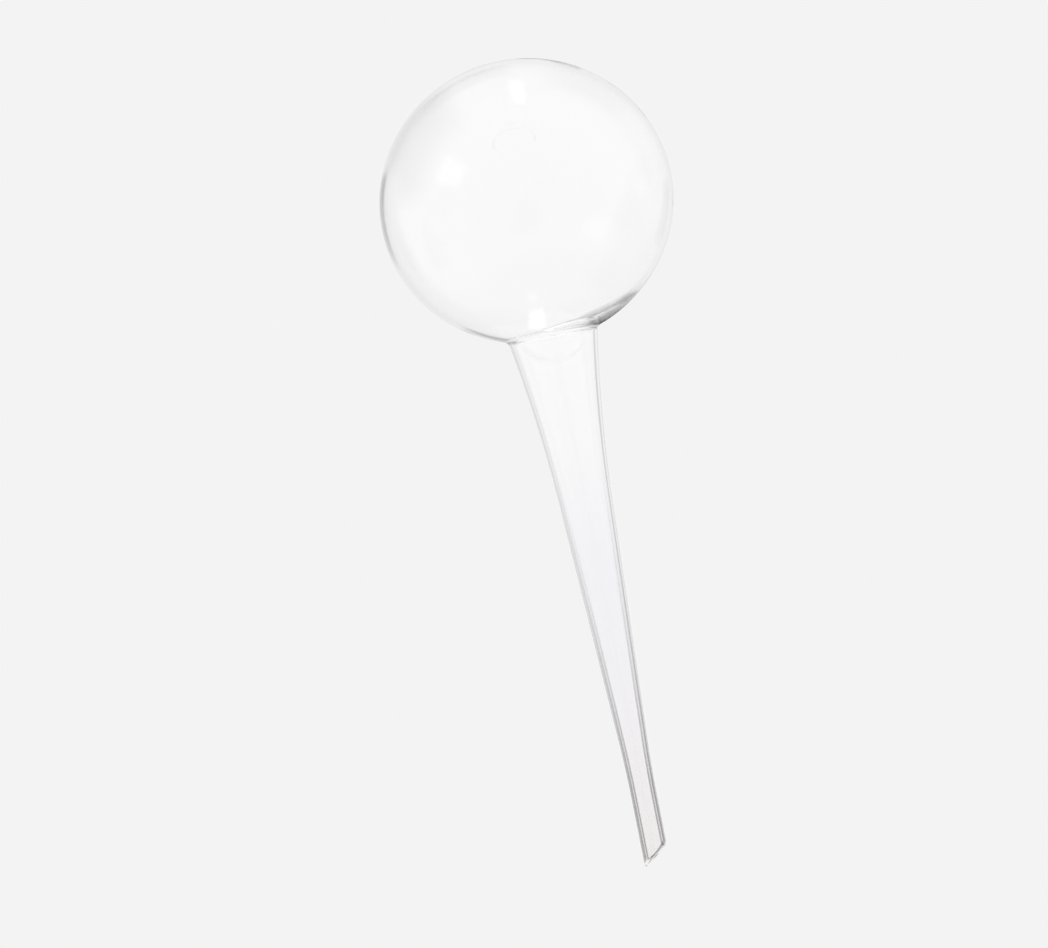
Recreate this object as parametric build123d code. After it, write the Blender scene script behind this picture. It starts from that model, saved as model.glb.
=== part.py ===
from build123d import *
import os
from math import asin, atan2, cos, degrees, radians, sin, tan

# A clear glass watering globe: a blown globe, a drawn stem, and the ring of glass that seals them.
# It is filled through its spout, turned over, and pushed into a pot's soil up to the globe.
# +Z runs up the stem's axis to the crown of the globe. The origin is on that axis, level with the
# lowest point of the spout, and the slanted mouth of the spout faces +X.
# Sizes are in millimetres and degrees.

# The whole
overall_length = 250.0  # crown of the globe to the lowest point of the spout

# The globe, blown a little flatter than a ball
globe_width = 90.0  # outside, across the middle
globe_height = 87.0  # outside, from pole to pole, as if it had no mouth
globe_wall = 1.2
globe_mouth_od = 30.0  # outside of the round mouth that the stem is sealed to
crown_centre_share = 1.25  # how far the crown's centre drops, as a share of the flattening

# The seal, a ring of glass melted between the globe's mouth and the stem
neck_hollow_radius = 2.0  # the hollow that runs round the outside of the neck
flare_angle = 9.5  # how far the stem's wall leans out where it leaves the seal

# The stem, drawn out while hot from a wide neck to a straight spout
flare_run = 26.0  # from the neck, along the wall, to where the lines of the flare and taper cross
waist_height = 30.0  # from the origin up to where the lines of the taper and spout cross
spout_bore = 6.0
spout_wall = 0.95
spout_length = 20.0  # the straight run, up from the origin
spout_slant = 39.0  # how far the cut end is turned from a square cut
lip_round_share = 0.4  # radius of the lip's melted edges, as a share of the spout's wall
cut_overrun = 10.0  # how far the stem is drawn past its tip before the slanted cut

# The globe's outline is an oval of tangent arcs: a flat one over each pole, a rounder one between
half_width = globe_width / 2
half_height = globe_height / 2
flattening = half_width - half_height
side_centre_share = (2 * crown_centre_share - 1) / (2 * crown_centre_share - 2)
crown_radius = half_height + flattening * crown_centre_share
side_radius = half_width - flattening * side_centre_share
join_turn = degrees(atan2(side_centre_share, crown_centre_share))
globe_centre = Vector(0, overall_length - half_height)
crown_centre = globe_centre - Vector(0, flattening * crown_centre_share)
side_centre = globe_centre + Vector(flattening * side_centre_share, 0)
base_centre = globe_centre + Vector(0, flattening * crown_centre_share)

# The globe's mouth: where the wall ends, and which way it faces there
mouth_turn = asin(globe_mouth_od / 2 / crown_radius)
mouth_facing = Vector(sin(mouth_turn), -cos(mouth_turn))
mouth_edge = base_centre + mouth_facing * crown_radius
mouth_edge_inside = mouth_edge - mouth_facing * globe_wall

# The seal's two sides are arcs round one centre outside the neck, so its wall is even
neck_facing = Vector(cos(radians(flare_angle)), -sin(radians(flare_angle)))
down_the_flare = Vector(-sin(radians(flare_angle)), -cos(radians(flare_angle)))
seal_middle_facing = (mouth_facing + neck_facing).normalized()
hollow_centre = mouth_edge + mouth_facing * neck_hollow_radius
neck = hollow_centre - neck_facing * neck_hollow_radius
neck_inside = neck - neck_facing * globe_wall

# The straight spout and its slanted cut
spout_od = spout_bore + 2 * spout_wall
slant = radians(spout_slant)
lip_round = spout_wall * lip_round_share
# Rounding the lip takes this much off its lowest point, so the cut starts that far below the origin.
lip_loss = lip_round * (tan(slant) + 1 / cos(slant) - 1)


def turned(outline, name):
    """A solid of revolution about the stem's axis, from a closed outline of radius and height."""
    piece = revolve(Plane.XZ * make_face(outline), Axis.Z)
    piece.label = name
    return piece


def globe_side(depth):
    """The oval from the crown round to the mouth, at a depth under the globe's outside."""
    crown = CenterArc(crown_centre, crown_radius - depth, 90, -join_turn)
    middle = CenterArc(side_centre, side_radius - depth, 90 - join_turn, 2 * join_turn - 180)
    base = CenterArc(base_centre, crown_radius - depth, join_turn - 90, degrees(mouth_turn) - join_turn)
    return [crown, middle, base]


def make_globe():
    """The blown shell, even in its wall, closed at its crown and open at its mouth."""
    outside = globe_side(0)
    inside = globe_side(globe_wall)
    crown = Line(outside[0] @ 0, inside[0] @ 0)
    mouth = Line(outside[-1] @ 1, inside[-1] @ 1)
    return turned([crown, *outside, mouth, *inside], "globe")


def make_neck_seal():
    """The melted ring, as thick as the globe's wall, that turns the globe's wall into the stem's."""
    bend_outside = hollow_centre - seal_middle_facing * neck_hollow_radius
    bend_inside = bend_outside - seal_middle_facing * globe_wall
    outside = ThreePointArc(mouth_edge, bend_outside, neck)
    inside = ThreePointArc(mouth_edge_inside, bend_inside, neck_inside)
    to_globe = Line(mouth_edge, mouth_edge_inside)
    to_stem = Line(neck, neck_inside)
    return turned([to_globe, outside, to_stem, inside], "neck_seal")


def stem_side(top, spout_radius):
    """One side of the stem's wall: the flare's arc, the straight taper, the arc into the spout, the spout.

    Each arc leaves and meets its two straight lines equally far from the point where they cross.
    """
    shoulder = top + down_the_flare * flare_run
    waist = Vector(spout_radius, waist_height)
    taper_way = (waist - shoulder).normalized()
    taper_top = shoulder + taper_way * flare_run
    taper_foot = waist - taper_way * (waist_height - spout_length)
    spout_top = Vector(spout_radius, spout_length)
    flare = TangentArc(top, taper_top, tangent=down_the_flare)
    taper = Line(taper_top, taper_foot)
    ease = TangentArc(taper_foot, spout_top, tangent=taper_way)
    spout = Line(spout_top, Vector(spout_radius, -cut_overrun))
    return [flare, taper, ease, spout]


def make_stem():
    """The drawn tube, cut on the slant at its tip, with the cut's two edges melted round."""
    outside = stem_side(neck, spout_od / 2)
    inside = stem_side(neck_inside, spout_bore / 2)
    to_seal = Line(neck, neck_inside)
    square_end = Line(outside[-1] @ 1, inside[-1] @ 1)
    tube = turned([to_seal, *outside, square_end, *inside], "stem")
    cut = Plane(origin=(-spout_od / 2, 0, -lip_loss), z_dir=(-sin(slant), 0, cos(slant)))
    stem = split(tube, bisect_by=cut, keep=Keep.TOP)
    cut_face = stem.faces().filter_by(GeomType.PLANE).sort_by(Axis.Z)[0]
    return fillet(cut_face.edges(), lip_round)


def main():
    """Writes each piece to its own file."""
    os.makedirs("parts", exist_ok=True)
    pieces = {"globe": make_globe(), "neck_seal": make_neck_seal(), "stem": make_stem()}
    for name, piece in pieces.items():
        export_step(piece, f"parts/{name}.step")


main()
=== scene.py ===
from functools import partial
from math import atan2, cos, hypot, pi, radians, sin, tan

import bpy
import numpy as np
from mathutils import Matrix, Vector


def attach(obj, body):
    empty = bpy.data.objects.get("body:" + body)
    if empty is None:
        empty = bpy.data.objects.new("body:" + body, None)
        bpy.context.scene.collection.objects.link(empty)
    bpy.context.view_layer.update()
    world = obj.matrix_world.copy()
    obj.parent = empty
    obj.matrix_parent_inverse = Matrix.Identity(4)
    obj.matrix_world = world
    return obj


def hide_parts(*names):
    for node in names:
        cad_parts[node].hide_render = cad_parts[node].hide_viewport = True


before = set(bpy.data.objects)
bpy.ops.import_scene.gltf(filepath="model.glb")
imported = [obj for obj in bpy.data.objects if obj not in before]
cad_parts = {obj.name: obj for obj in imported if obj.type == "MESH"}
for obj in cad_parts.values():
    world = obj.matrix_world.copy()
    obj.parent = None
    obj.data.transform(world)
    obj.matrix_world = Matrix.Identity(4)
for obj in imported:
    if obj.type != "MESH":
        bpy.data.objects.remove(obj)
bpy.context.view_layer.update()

# A clear glass watering globe, looked at as a maker would: one blown ball, one melted ring that seals
# it, one drawn stem. Lengths are in millimetres until they are put into a mesh, and angles in degrees.
MM = 0.001

# The blown ball
BALL_HALF_WIDTH = 45.0
BALL_HALF_HEIGHT = 43.5
BALL_CENTRE = 206.5  # height above the spout's lowest point
BALL_WALL = 1.2
BALL_MOUTH_RADIUS = 15.0
MOUTH_TURN = pi - float(np.arcsin(BALL_MOUTH_RADIUS / BALL_HALF_WIDTH))  # from the crown, in radians
POOL = 0.5  # how much thicker the wall is where the hot glass ran to one side of the mouth
POOL_START, POOL_FULL = 140.0, 163.0  # where the pool starts and is full, as turns from the crown
WALL_SWELLS = 0.05, 0.04  # how much the wall's thickness varies, in two slow waves
SKIN_SWELL = 0.03  # how much the outside varies
BALL_DIM_START = 118.0  # where the painted shade on the ball's edge starts, on the pool's side, as a turn
BALL_DIM_POWER = 1.3  # over 1, the painted shade grows more slowly at first

# The melted ring
NECK_HOLLOW = 2.0
NECK_WALL = 1.2
SEAM = 0.002  # the hairline between two pieces of glass
RING_END_DIM = 0.9  # how strong the painted shade on the ring's bend is at the two ends of its line in the picture

# The drawn stem
FLARE = 9.5
FLARE_RUN = 26.0
WAIST = 30.0
SPOUT_RADIUS = 3.95
SPOUT_BORE_RADIUS = 3.0
SPOUT_TOP = 20.0
SPOUT_SLANT = 39.0
STEM_DIM_FULL, STEM_DIM_GONE = 25.0, 125.0  # heights where the painted shade on its edges is strongest and where it is gone
LIP_DEPTH = 0.95  # how far the melted lip swells past the cut
LIP_DIM = 2.5  # how strong the painted shade is on the lip's near side; over 1, the painted rim colour reaches further in
LIP_DIM_FROM, LIP_DIM_TO = -0.6, -0.1  # the cosines of the angle between which that begins
LIP_SPOT, LIP_SPOT_WIDTH, LIP_SPOT_DIM = radians(104), 0.25, 2.0  # the painted dark spot on its far side: its angle and width in radians, and its strength

# The photograph's frame and view
PHOTO_WIDTH, PHOTO_HEIGHT = 1048, 948
VIEW_AZIMUTH = 16.6  # the slanted mouth is turned a little towards the camera
VIEW_ROLL = 11.19  # how far the stem leans in the picture
VIEW_DISTANCE = 1100.0
PIXELS_PER_MM = 3.273
BALL_PIXEL = (526.5, 201.6)
SENSOR = 36.0

# The glass
GLASS_IOR = 1.51  # as soda-lime glass has
SHADOW_CLEAR = 0.93  # what a face lets through of the lamp's light
RIM_SOFT = 0.11  # from where the painted rim shade starts to where it is full, as a step of how edge on it is
SHARP_EDGE = radians(50)  # a crease as sharp as this isn't smoothed over
LIGHT_BOUNCES = 1024

# The studio. What the glass mirrors is placed by two angles: the turn in the picture, anticlockwise from
# its right edge, and the angle off the line of sight to the ball's centre.
BACKGROUND_CODE = "#F3F3F3"
TENT_BEHIND, TENT_IN_FRONT = 0.77, 1.45  # the pale tent, behind the object and on the camera's side
TENT_SHADE = (0, 110)  # the angles off the line of sight between which it brightens
TENT_THROUGH = 0.3  # how strong the tent's patches stay in the ball's rear wall
ROOM_LEVEL = 0.88  # the room behind the object, which the glass's edges bend into view
ROOM_CLEAR = (6, 10)  # the angles within which the plain background hides it
ROOM_FLOOR = 0.5  # what it is straight down
ROOM_FLOOR_FROM, ROOM_FLOOR_TO = -0.6, -0.9  # the heights of a direction between which that begins
ROOM_TURNED = 0.5  # how dark its dark sides stay in the other three quarters
WALL_FACES = 3  # a ray that has crossed more faces than this has come through a wall of the ball
EDGE_FACES = 2  # a ray that has crossed this many comes from a glass edge or from the lip
FLOOR_CODE = "#EFEFEF"
FLOOR_SKY = 0.62  # the light that the floor gets from all round
FLOOR_HEIGHT = -120.0
FLOOR_RADIUS = 400.0
FLOOR_FADE = (100.0, 360.0)  # the distances between which it fades into the background
LAMP_SIZE, LAMP_HEIGHT, LAMP_RADIANCE = 450.0, 1500.0, 17.0

# Turn, half width and softness; angle off the line of sight, half width and softness; level, tint
TENT_PATCHES = (
    (153, 11, 23, 60, 14, 36, 0.22, "#FFFFFF"),  # the tent's dim upper left corner
    (64, 8, 16, 45, 14, 22, 0.84, "#FFFFFF"),  # its dim upper right corner
    (188, 12, 16, 42, 10, 16, 0.62, "#FFFFFF"),  # its left seam
    (228, 18, 20, 42, 12, 20, 0.74, "#FBFAFF"),  # its lower left, a little lilac
    (94, 0.5, 3, 88, 2, 6, 2.9, "#FFFFFF"),  # the softbox overhead
    (275.5, 1, 3.8, 67, 5, 16, 3.0, "#FFFFFF"),  # a white card under the object
    (158, 6, 6, 114, 7, 8, 2.4, "#FFFFFF"),  # the softbox at the left
)
TABLE = (296, 6, 18, 20, 16, 8, 0.06, "#FFFFFF")  # the dark table, low on the right
DARK_SIDES = (
    (186, 7, 19, 13, 12, 7, 0.45, "#FFFFFF"),  # the dark side of the room
    (148, 8, 16, 18, 10, 8, 0.86, "#FFFFFF"),  # its dim upper left corner
    (60, 8, 16, 18, 10, 8, 0.86, "#FFFFFF"),  # its dim upper right corner
    (258, 4, 13, 10, 14, 6, 0.36, "#FFFFFF"),  # the dark table, low on the left
    (291, 10, 18, 16, 14, 8, 0.15, "#FFFFFF"),  # and low on the right
    (354, 8, 9, 40, 6, 6, 0.58, "#FFFFFF"),  # a dark stand at the right
)


def linear(code, level=1.0):
    """The linear colour, with a full alpha, of an sRGB hex code, times a level.

    Each channel is a straight share near black and a power of 2.4 above it, as sRGB is defined.
    """
    srgb = np.array([int(code[i:i + 2], 16) for i in (1, 3, 5)]) / 255
    flat = np.where(srgb <= 0.04045, srgb / 12.92, ((srgb + 0.055) / 1.055) ** 2.4)
    return (*(flat * level), 1.0)


def ease(x, start, end):
    """0 at start, 1 at end, with a smooth S curve between."""
    t = np.clip((x - start) / (end - start), 0, 1)
    return t * t * (3 - 2 * t)


SMOOTH = {"interpolation_type": "SMOOTHSTEP"}  # of a node that maps a range
COLOURS = {"data_type": "RGBA"}  # of a node that mixes


def put(tree, kind, settings=None, *values, **inputs):
    """Adds a node, sets what it is told, and fills its inputs with values or with other nodes' outputs.

    Where the settings are a word, it is the node's operation. The values go to the inputs in use, in
    order, and the rest go by name. A node that is given stands for its first output in use.
    """
    node = tree.nodes.new("ShaderNode" + kind)
    if isinstance(settings, str):
        settings = {"operation": settings}
    for name, value in (settings or {}).items():
        setattr(node, name, value)
    sockets = [socket for socket in node.inputs if socket.enabled][:len(values)]
    sockets += [node.inputs[name.replace("_", " ")] for name in inputs]
    for socket, value in zip(sockets, [*values, *inputs.values()]):
        if isinstance(value, bpy.types.Node):
            value = next(output for output in value.outputs if output.enabled)
        if isinstance(value, bpy.types.NodeSocket):
            tree.links.new(value, socket)
        else:
            socket.default_value = value
    return node


def turned_skin(name, radius, height, looped, joints):
    """A closed skin turned about the stem's axis, from grids of radius and height in millimetres.

    Each row is a step along the profile and each column an equal step of the angle round the axis, so a
    point is (radius * cos angle, radius * sin angle, height). A looped profile joins its last row to its
    first. Any other profile starts and ends on the axis, where its rows shrink to single points. The
    joints are the rows whose band to the next row meets another piece; those faces take the second slot.
    """
    rows, around = radius.shape
    angle = np.arange(around) * 2 * pi / around
    points = np.stack([radius * np.cos(angle), radius * np.sin(angle), height], axis=-1).reshape(-1, 3)
    here = np.arange(around)
    beside = np.roll(here, -1)
    first = np.arange(rows if looped else rows - 1)[:, None] * around
    second = np.roll(np.arange(rows), -1)[:len(first), None] * around
    faces = np.stack([first + here, second + here, second + beside, first + beside], axis=-1).reshape(-1, 4)
    faces = faces.tolist()
    if not looped:
        start, end = len(points), len(points) + 1
        last = (rows - 1) * around
        points = np.vstack([points, [0, 0, height[0].mean()], [0, 0, height[-1].mean()]])
        faces += np.stack([np.full(around, start), here, beside], axis=-1).tolist()
        faces += np.stack([np.full(around, end), last + beside, last + here], axis=-1).tolist()
    mesh = bpy.data.meshes.new(name)
    mesh.from_pydata((points * MM).tolist(), [], faces)
    slots = np.zeros(len(faces), np.int32)
    slots[(np.array(joints)[:, None] * around + here).ravel()] = 1
    mesh.polygons.foreach_set("material_index", slots)
    mesh.shade_smooth()
    mesh.set_sharp_from_angle(angle=SHARP_EDGE)
    piece = bpy.data.objects.new(name, mesh)
    bpy.context.scene.collection.objects.link(piece)
    return piece


def paint_edge_shade(piece, share):
    """Writes the painted shade of the piece's edges at each of its points, from 0 up. Its poles stay 0."""
    values = np.zeros(len(piece.data.vertices))
    values[:share.size] = share.ravel()
    piece.data.attributes.new("dim_edge", "FLOAT", "POINT").data.foreach_set("value", values)
    return piece


def pool_side(angle):
    """1 on the side of the mouth that the hot glass ran to, 0 on the other: the square of (1 + cos) / 2."""
    return ((1 + np.cos(angle - radians(VIEW_AZIMUTH))) / 2) ** 2


def ball_outside(turn):
    """Radius and height of the ball's outline at a turn from its crown, and the way it faces there.

    The outline is an ellipse: half the width times the sine, and half the height times the cosine.
    """
    radius = BALL_HALF_WIDTH * np.sin(turn)
    height = BALL_CENTRE + BALL_HALF_HEIGHT * np.cos(turn)
    out = np.stack([np.sin(turn) / BALL_HALF_WIDTH, np.cos(turn) / BALL_HALF_HEIGHT])
    return radius, height, out / np.hypot(*out)


def ball_wall(turn, angle):
    """The ball's wall: even, a little uneven as blown glass is, and thick towards one side of its mouth.

    A sum of slow sines makes the unevenness. The pool of glass grows smoothly along the outline down to
    the mouth, on its own side.
    """
    slow = WALL_SWELLS[0] * np.sin(2 * angle + 3 * turn) + WALL_SWELLS[1] * np.sin(3 * angle - 2 * turn + 1)
    pool = POOL * ease(turn, radians(POOL_START), radians(POOL_FULL)) * pool_side(angle)
    return BALL_WALL + slow * np.sin(turn) ** 2 + pool


def blown_ball(around=224, steps=176):
    """The ball: down its outside from the crown to the mouth, across the wall and back up its inside.

    The inside lies at the wall's depth along the outline's facing. The outside waves by a few hundredths
    of a millimetre, as a sum of sines of the two angles, and never past the outline. A painted shade
    darkens the edge as a power of the turn towards the mouth on the pool's side, in place of the dark
    things that the thick glass there would bend into view.
    """
    angle = (np.arange(around) * 2 * pi / around)[None, :]
    turn = np.linspace(0, MOUTH_TURN - SEAM / BALL_HALF_WIDTH, steps + 1)[1:, None]
    radius, height, out = ball_outside(turn)
    waves = np.sin(3 * angle + 2 * turn) + np.sin(2 * angle - 4 * turn + 2) - 2
    wave = SKIN_SWELL * np.sin(turn) ** 2 * waves
    depth = ball_wall(turn, angle)
    outside = radius + out[0] * wave, height + out[1] * wave
    inside = radius - out[0] * depth, height - out[1] * depth
    rows = [np.vstack([a, b[::-1]]) for a, b in zip(outside, inside)]
    # painted shade on the ball's edge, towards the mouth on the pool's side
    start = radians(BALL_DIM_START)
    dim = np.clip((turn - start) / (MOUTH_TURN - start), 0, 1) ** BALL_DIM_POWER * pool_side(angle)
    piece = turned_skin("blown_ball", *rows, looped=False, joints=[steps - 1])
    return paint_edge_shade(piece, np.vstack([dim, dim[::-1]]))


def hollow_centre():
    """The centre of the hollow round the neck, and the facing of the ball's mouth, in radius and height.

    The centre is the mouth's edge moved along that facing by the hollow's radius.
    """
    radius, height, out = ball_outside(np.array(MOUTH_TURN))
    return (float(radius + out[0] * NECK_HOLLOW), float(height + out[1] * NECK_HOLLOW)), out


def melted_ring(around=224, steps=26):
    """The ring: an arc round the hollow from the ball's wall to the stem's, and a wider one back inside.

    The wall eases from the ball's thickness at its mouth to the neck's. A painted shade darkens it on the
    pool's side next to the ball, and on its bend by the fourth power of the cosine, so the bend shows a
    painted short dark stroke at the left and at the right.
    """
    centre, out = hollow_centre()
    angle = (np.arange(around) * 2 * pi / around)[None, :]
    hair = SEAM / NECK_HOLLOW
    facing = np.linspace(atan2(out[1], out[0]) + hair, -radians(FLARE) - hair, steps)[:, None]
    share = np.linspace(0, 1, steps)[:, None]
    mouth_wall = ball_wall(np.array(MOUTH_TURN), angle)
    wall = mouth_wall + (NECK_WALL - mouth_wall) * ease(share, 0, 1)
    sides = [(centre[0] - np.cos(facing) * reach, centre[1] - np.sin(facing) * reach)
             for reach in (np.full_like(wall, NECK_HOLLOW), NECK_HOLLOW + wall)]
    rows = [np.vstack([a, b[::-1]]) for a, b in zip(*sides)]
    # painted shade: the ring darker next to the ball on the pool's side, and short dark strokes at the
    # bend's left and right
    ends = np.sin(pi * share) * np.cos(angle - radians(VIEW_AZIMUTH)) ** 4
    dim = np.maximum((1 - ease(share, 0, 1)) * pool_side(angle), RING_END_DIM * ends)
    piece = turned_skin("melted_ring", *rows, looped=True, joints=[steps - 1, 2 * steps - 1])
    return paint_edge_shade(piece, np.vstack([dim, dim[::-1]]))


def stem_radius(height, top, spout_radius):
    """The stem's radius at a height: a flare's arc, a straight taper, an arc into the spout, the spout.

    Each arc touches its two straight lines equally far from where they cross, so its radius is that
    distance over the tangent of half the turn, and its centre lies outside the stem.
    """
    down = np.array([-sin(radians(FLARE)), -cos(radians(FLARE))])
    shoulder = np.array(top) + down * FLARE_RUN
    waist = np.array([spout_radius, WAIST])
    way = (waist - shoulder) / hypot(*(waist - shoulder))
    lean = atan2(-way[0], -way[1])
    taper_top = shoulder + way * FLARE_RUN
    taper_foot = waist - way * (WAIST - SPOUT_TOP)
    flare_arc = FLARE_RUN / tan((radians(FLARE) - lean) / 2)
    ease_arc = (WAIST - SPOUT_TOP) / tan(lean / 2)
    flare_centre = np.array(top) + np.array([-down[1], down[0]]) * flare_arc
    flare = flare_centre[0] - np.sqrt(np.maximum(flare_arc ** 2 - (height - flare_centre[1]) ** 2, 0))
    taper = taper_top[0] + (height - taper_top[1]) * way[0] / way[1]
    into = spout_radius + ease_arc - np.sqrt(np.maximum(ease_arc ** 2 - (height - SPOUT_TOP) ** 2, 0))
    parts = [height > taper_top[1], height > taper_foot[1], height > SPOUT_TOP]
    return np.select(parts, [flare, taper, into], spout_radius)


def drawn_stem(around=112, steps=132, tip_steps=26, lip_steps=20):
    """The stem: down its outside, round the melted lip of the slanted spout, and up its inside.

    The spout's cut is a plane that rises towards +X. Its rings tilt little by little over the straight
    run, from level to the cut's slope. The lip is half an ellipse across the wall that hangs under the
    cut. The whole lip is raised so that its lowest point is at height zero. A painted shade darkens the
    edges in step with the height, more lower down, and the lip by a smooth S curve of the cosine, most
    on the near side, where -Y is, with a painted dark spot on its far side.
    """
    centre, _ = hollow_centre()
    neck_way = np.array([cos(radians(FLARE)), -sin(radians(FLARE))])
    neck = np.array(centre) - neck_way * NECK_HOLLOW
    neck_inside = neck - neck_way * NECK_WALL
    angle = (np.arange(around) * 2 * pi / around)[None, :]
    slope = tan(radians(SPOUT_SLANT))
    middle = (SPOUT_RADIUS + SPOUT_BORE_RADIUS) / 2
    half_wall = (SPOUT_RADIUS - SPOUT_BORE_RADIUS) / 2
    sweep = np.linspace(0, pi, lip_steps + 1)[:, None]
    lip_radius = middle + half_wall * np.cos(sweep) + np.zeros_like(angle)
    lip_height = lip_radius * np.cos(angle) * slope - LIP_DEPTH * np.sin(sweep)
    lift = -lip_height.min()
    lip_height = lip_height + lift

    def side(top, bore_radius):
        """One side's radius and height, from the neck to the lip."""
        high = np.linspace(top[1] - SEAM, SPOUT_TOP, steps)[:, None] + np.zeros_like(angle)
        foot = bore_radius * np.cos(angle) * slope + lift
        share = np.linspace(0, 1, tip_steps + 1)[1:-1, None]
        low = SPOUT_TOP + (foot - SPOUT_TOP) * share
        heights = np.vstack([high, low])
        return stem_radius(heights, top, bore_radius), heights

    outside = side(neck, SPOUT_RADIUS)
    inside = side(neck_inside, SPOUT_BORE_RADIUS)
    lip = (lip_radius, lip_height)
    rows = [np.vstack([a, l, b[::-1]]) for a, l, b in zip(outside, lip, inside)]
    # painted shade: edges darker lower down, and on the lip a dark near side and a dark spot on the far
    # side
    dim = np.clip((STEM_DIM_GONE - rows[1]) / (STEM_DIM_GONE - STEM_DIM_FULL), 0, 1)
    near = (1 - np.sin(angle)) / 2
    spot = np.exp(-((angle - LIP_SPOT) / LIP_SPOT_WIDTH) ** 2)
    lip_dim = LIP_DIM * ease(np.cos(angle), LIP_DIM_FROM, LIP_DIM_TO) * near + LIP_SPOT_DIM * spot
    dim[len(outside[0]):len(outside[0]) + len(lip_radius)] = lip_dim
    return paint_edge_shade(turned_skin("drawn_stem", *rows, looped=True, joints=[len(rows[0]) - 1]), dim)


def glass(name, tones, waves_mm, wave_depth_mm, stretch, rim):
    """A clear soda-lime glass: a mirror-smooth skin that bends light, with a faint tone of its own.

    The skin's slow waves come from a noise in real millimetres, stretched along the stem for drawn glass.
    The tones are pairs of a height in millimetres and the colour that the skin lets through there. The
    rim is painted shade: a dark colour laid on the skin where it is seen edge on, as far as the piece's
    painted edge shade attribute says; how edge on that starts where the attribute is 1 and where it is 0;
    and how edge on it starts to fade again and is gone. Glass isn't seen mirrored on the outside of other
    glass, so no spot is cut in two.
    """
    material = bpy.data.materials.new(name)
    material.use_nodes = True
    material.node_tree.nodes.clear()
    add = partial(put, material.node_tree)
    place = add("TexCoord").outputs["Object"]
    placed = add("Mapping", Vector=place, Scale=stretch)
    waves = add("TexNoise", Vector=placed, Scale=1 / (waves_mm * MM), Detail=2.0, Roughness=0.4)
    lumps = add("Bump", Height=waves.outputs[0], Strength=1.0, Distance=wave_depth_mm * MM)
    height = add("SeparateXYZ", Vector=place).outputs["Z"]
    low, high = tones[0][0], tones[-1][0]
    body = add("ValToRGB", Fac=add("MapRange", None, height, low * MM, high * MM))
    stops = body.color_ramp.elements
    for number, (level, code) in enumerate(tones):
        at = (level - low) / (high - low)
        stop = stops[number] if number < len(stops) else stops.new(at)
        stop.position, stop.color = at, linear(code)
    # painted shade: a dark rim colour mixed into the tone where the skin is seen edge on
    code, start_full, start_none, fade_start, fade_end = rim
    dim = add("Attribute", {"attribute_name": "dim_edge"}).outputs["Fac"]
    edge_on = add("LayerWeight", Blend=0.5).outputs["Facing"]
    start = add("MapRange", {"clamp": False}, dim, 0.0, 1.0, start_none, start_full)
    near = add("MapRange", SMOOTH, add("Math", "SUBTRACT", edge_on, start), 0.0, RIM_SOFT)
    far = add("MapRange", SMOOTH, edge_on, fade_start, fade_end, 1.0, 0.0)
    part = add("Math", "MULTIPLY", dim, add("Math", "MULTIPLY", near, far))
    tone = add("Mix", COLOURS, part, body, linear(code))
    skin = add("BsdfPrincipled", Base_Color=tone, Roughness=0.0, IOR=GLASS_IOR, Transmission_Weight=1.0,
               Normal=lumps)
    path = add("LightPath").outputs
    mirrored = add("Math", "GREATER_THAN", path["Glossy Depth"], path["Transmission Depth"])
    outside = add("Math", "LESS_THAN", path["Transmission Depth"], 0.5)
    passed = add("Math", "MULTIPLY", mirrored, outside)
    unseen = add("Math", "MAXIMUM", passed, path["Is Shadow Ray"])
    clear = add("BsdfTransparent", Color=(SHADOW_CLEAR, SHADOW_CLEAR, SHADOW_CLEAR, 1))
    add("OutputMaterial", Surface=add("MixShader", None, unseen, skin, clear))
    return material


# Blown soda-lime glass: fire-smooth, so every reflection is crisp, but slowly wavy where it was blown; its
# grey rim colour is painted shade on the edges
blown_glass = glass("blown soda-lime glass", ((160, "#FEFEFE"), (250, "#FFFFFF")),
                    waves_mm=26.0, wave_depth_mm=0.10, stretch=(1, 1, 1),
                    rim=("#737072", 0.56, 0.86, 1.0, 1.1))
# Flame-melted soda-lime glass: the same glass, run together in the flame, with shorter waves; its dark rim
# colour is painted shade on the edges
melted_glass = glass("flame-melted soda-lime glass", ((160, "#FEFEFE"), (250, "#FFFFFF")),
                     waves_mm=9.0, wave_depth_mm=0.06, stretch=(1, 1, 1),
                     rim=("#4C4A4B", 0.10, 0.60, 1.0, 1.1))
# Drawn soda-lime glass: pulled long, so its waves are stretched along the stem into faint streaks. It is a
# little lilac in its lower half, a little pink grey at the tip and slightly greyer towards the tip, and its
# rim colour is painted shade on the edges
STEM_TONES = (0, "#F8F6F6"), (45, "#FAF9FA"), (95, "#FBFBFD"), (130, "#FEFEFE"), (165, "#FFFFFF")
drawn_glass = glass("drawn soda-lime glass", STEM_TONES,
                    waves_mm=5.0, wave_depth_mm=0.02, stretch=(1, 1, 0.06),
                    rim=("#787576", 0.29, 0.46, 0.52, 0.80))


def melted_through():
    """Two glasses melted together: no skin is left between them, and light goes straight on."""
    material = bpy.data.materials.new("melted-through glass joint")
    material.use_nodes = True
    tree = material.node_tree
    tree.nodes.clear()
    put(tree, "OutputMaterial", Surface=put(tree, "BsdfTransparent", Color=(1, 1, 1, 1)))
    return material


joint_glass = melted_through()
for piece, node, slot, material in (
        (blown_ball(), "globe", "blown_glass", blown_glass),
        (melted_ring(), "neck_seal", "seal_glass", melted_glass),
        (drawn_stem(), "stem", "drawn_glass", drawn_glass)):
    piece.data.materials.append(material)
    piece.data.materials.append(joint_glass)
    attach(piece, "root")
    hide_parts(node)


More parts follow.
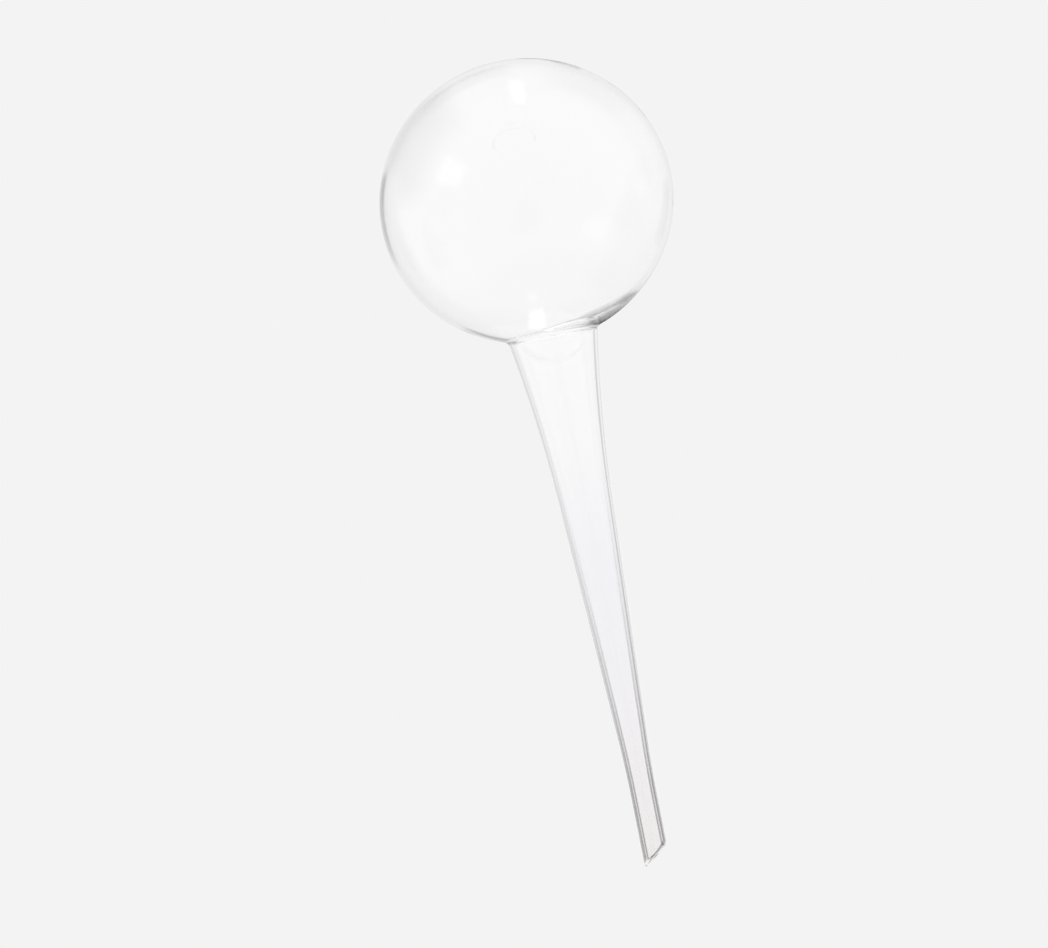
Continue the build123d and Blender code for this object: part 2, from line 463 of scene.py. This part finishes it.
def view_axes():
    """Right, up and forward of the photograph's view: level, turned by the azimuth, then rolled."""
    a, r = radians(VIEW_AZIMUTH), radians(VIEW_ROLL)
    level = Vector((cos(a), sin(a), 0))
    forward = Vector((-sin(a), cos(a), 0))
    up = Vector((0, 0, 1))
    return level * cos(r) - up * sin(r), level * sin(r) + up * cos(r), forward


def eye_place():
    """Where the camera stands, in millimetres: level, so that the ball's centre falls on its pixel."""
    right, up, forward = view_axes()
    across = (PHOTO_WIDTH / 2 - BALL_PIXEL[0]) / PIXELS_PER_MM
    down = (PHOTO_HEIGHT / 2 - BALL_PIXEL[1]) / PIXELS_PER_MM
    return Vector((0, 0, BALL_CENTRE)) + right * across - up * down - forward * VIEW_DISTANCE


def sight_axes():
    """Right, up and forward of the line of sight from the camera to the ball's centre."""
    _, up, _ = view_axes()
    sight = (Vector((0, 0, BALL_CENTRE)) - eye_place()).normalized()
    right = sight.cross(up).normalized()
    return right, right.cross(sight), sight


def camera():
    """A long lens, square to the picture, as long as the distance times the picture's scale asks for."""
    right, up, forward = view_axes()
    data = bpy.data.cameras.new("camera")
    data.sensor_width = SENSOR
    data.lens = SENSOR * VIEW_DISTANCE * PIXELS_PER_MM / PHOTO_WIDTH
    eye = bpy.data.objects.new("camera", data)
    turn = Matrix((right, up, -forward)).transposed()
    eye.matrix_world = Matrix.Translation(eye_place() * MM) @ turn.to_4x4()
    bpy.context.scene.collection.objects.link(eye)
    bpy.context.scene.camera = eye


def straight_share(tree):
    """1 for what the camera sees plainly or straight through the glass, 0 once a ray has been mirrored."""
    mirrored = put(tree, "LightPath").outputs["Glossy Depth"]
    return put(tree, "Math", {"operation": "SUBTRACT", "use_clamp": True}, 1.0, mirrored)


def studio_world():
    """The surroundings: the plain pale background, and what the glass mirrors of the studio.

    Rays that have only gone straight see the background. A mirrored ray sees a pale tent, brighter on
    the camera's side, with softboxes, dim corners and a dark table as soft-edged patches. They are
    fainter once the ray has come through a wall, but the table isn't if it was mirrored more than once.
    A ray that has crossed only two faces, as at the glass's edges and at the lip, sees the room behind
    the object and its dark sides. That room is like itself at each quarter turn, with fainter dark
    sides, so the stem's edges show from every side.
    """
    world = bpy.data.worlds.new("studio")
    bpy.context.scene.world = world
    world.use_nodes = True
    tree = world.node_tree
    tree.nodes.clear()
    add = partial(put, tree)
    way = add("TexCoord").outputs["Generated"]
    path = add("LightPath").outputs
    axes = sight_axes()

    def two_angles(direction):
        """A direction's turn in the picture, an arctangent, and its angle off the sight, an arccosine."""
        right, up, forward = (add("VectorMath", "DOT_PRODUCT", direction, axis) for axis in axes)
        return add("Math", "ARCTAN2", up, right), add("Math", "ARCCOSINE", forward)

    def patched(view, turn, off, patches):
        """The view with each soft-edged patch laid over it: a product of smooth S curves of two angles."""
        for at, half, soft, off_at, off_half, off_soft, level, tint in patches:
            beside = add("Math", "COSINE", add("Math", "SUBTRACT", turn, radians(at)))
            beyond = add("Math", "ABSOLUTE", add("Math", "SUBTRACT", off, radians(off_at)))
            across = add("MapRange", SMOOTH, beside, cos(radians(half + soft)), cos(radians(half)))
            along = add("MapRange", SMOOTH, beyond, radians(off_half + off_soft), radians(off_half))
            view = add("Mix", COLOURS, add("Math", "MULTIPLY", across, along), view, linear(tint, level))
        return view

    turn, off = two_angles(way)
    brighter = add("MapRange", SMOOTH, off, *map(radians, TENT_SHADE))
    tent = add("Mix", COLOURS, brighter, linear("#FFFFFF", TENT_BEHIND), linear("#FFFFFF", TENT_IN_FRONT))
    walls = add("Math", "GREATER_THAN", path["Transmission Depth"], WALL_FACES)
    through = add("Math", "MULTIPLY", walls, 1 - TENT_THROUGH)
    often = add("Math", "GREATER_THAN", path["Glossy Depth"], 1.5)
    tabled = patched(tent, turn, off, [TABLE])
    tent = add("Mix", COLOURS, through, patched(tabled, turn, off, TENT_PATCHES), tent)
    tent = add("Mix", COLOURS, add("Math", "MULTIPLY", through, often), tent, tabled)

    x, y, z = add("SeparateXYZ", Vector=way).outputs
    ahead = atan2(axes[2].y, axes[2].x)
    beside = add("Math", "SUBTRACT", add("Math", "ARCTAN2", y, x), ahead)
    quarter = add("Math", "WRAP", beside, pi / 4, -pi / 4)
    azimuth = add("Math", "ADD", quarter, ahead)
    level_length = add("Math", "SQRT", add("Math", "SUBTRACT", 1.0, add("Math", "MULTIPLY", z, z)))
    folded = add("CombineXYZ", Z=z,
                 X=add("Math", "MULTIPLY", add("Math", "COSINE", azimuth), level_length),
                 Y=add("Math", "MULTIPLY", add("Math", "SINE", azimuth), level_length))
    turn, off = two_angles(folded)
    downward = add("MapRange", SMOOTH, z, ROOM_FLOOR_FROM, ROOM_FLOOR_TO)
    room = add("Mix", COLOURS, downward, linear("#FFFFFF", ROOM_LEVEL), linear("#FFFFFF", ROOM_FLOOR))
    aside = add("MapRange", SMOOTH, off, *map(radians, ROOM_CLEAR))
    room = add("Mix", COLOURS, aside, linear(BACKGROUND_CODE), room)
    ahead_quarter = add("Math", "COMPARE", beside, quarter, 0.001)
    dark = add("Math", "MINIMUM", add("Math", "ADD", ahead_quarter, ROOM_TURNED), 1.0)
    room = add("Mix", COLOURS, dark, room, patched(room, turn, off, DARK_SIDES))

    seen = add("Mix", COLOURS, straight_share(tree), tent, linear(BACKGROUND_CODE))
    edges = add("Math", "COMPARE", path["Transmission Depth"], EDGE_FACES, 0.5)
    seen = add("Mix", COLOURS, edges, seen, room)
    lit = add("Mix", COLOURS, path["Is Diffuse Ray"], seen, linear("#FFFFFF", FLOOR_SKY))
    add("OutputWorld", Surface=add("Background", Color=lit))


def floor(rings=10, around=96):
    """A pale card under the object: a disc of rings, lit in its middle, that fades into the background.

    A point is (reach * cos angle, reach * sin angle) at an even height, and the reach grows in equal
    steps. The card is matt, so it scatters light evenly and shows the eye a soft shadow and no shine.
    Mirrored rays pass it by, so that the glass mirrors the tent alone.
    """
    reach = np.linspace(0, FLOOR_RADIUS, rings + 1)[1:, None]
    angle = np.arange(around) * 2 * pi / around
    flat = np.full((rings, around), FLOOR_HEIGHT)
    points = np.stack([reach * np.cos(angle), reach * np.sin(angle), flat], -1).reshape(-1, 3)
    here, beside = np.arange(around), np.roll(np.arange(around), -1)
    first = np.arange(rings - 1)[:, None] * around
    quads = np.stack([first + here, first + around + here, first + around + beside, first + beside], -1)
    mesh = bpy.data.meshes.new("floor")
    mesh.from_pydata((points * MM).tolist(), [], quads.reshape(-1, 4).tolist() + [here.tolist()])
    disc = bpy.data.objects.new("floor", mesh)
    bpy.context.scene.collection.objects.link(disc)
    material = bpy.data.materials.new("matt white card")
    material.use_nodes = True
    tree = material.node_tree
    tree.nodes.clear()
    add = partial(put, tree)
    place = add("TexCoord").outputs["Object"]
    out = add("VectorMath", "LENGTH", add("VectorMath", "MULTIPLY", place, (1, 1, 0)))
    fade = add("MapRange", SMOOTH, out, FLOOR_FADE[0] * MM, FLOOR_FADE[1] * MM)
    card = add("BsdfDiffuse", Color=linear(FLOOR_CODE))
    faded = add("MixShader", None, fade, card, add("Emission", Color=linear(BACKGROUND_CODE)))
    gone = add("BsdfTransparent")
    add("OutputMaterial", Surface=add("MixShader", None, straight_share(tree), gone, faded))
    mesh.materials.append(material)


def overhead_lamp():
    """The soft lamp that lights the floor and throws the shadow. The glass mirrors its patch in the tent.

    Its power is its radiance times its area times pi.
    """
    data = bpy.data.lights.new("softbox overhead", "AREA")
    data.shape = "SQUARE"
    data.size = LAMP_SIZE * MM
    data.energy = LAMP_RADIANCE * (LAMP_SIZE * MM) ** 2 * pi
    lamp = bpy.data.objects.new("softbox overhead", data)
    lamp.location = (0, 0, LAMP_HEIGHT * MM)
    lamp.visible_camera = False
    lamp.visible_glossy = False
    lamp.visible_transmission = False
    bpy.context.scene.collection.objects.link(lamp)


camera()
studio_world()
floor()
overhead_lamp()
bpy.context.scene.view_settings.view_transform = "Standard"
# Light that is caught inside a thin glass wall is mirrored hundreds of times before it leaves
for kind in ("max_bounces", "glossy_bounces", "transmission_bounces", "transparent_max_bounces"):
    setattr(bpy.context.scene.cycles, kind, LIGHT_BOUNCES)
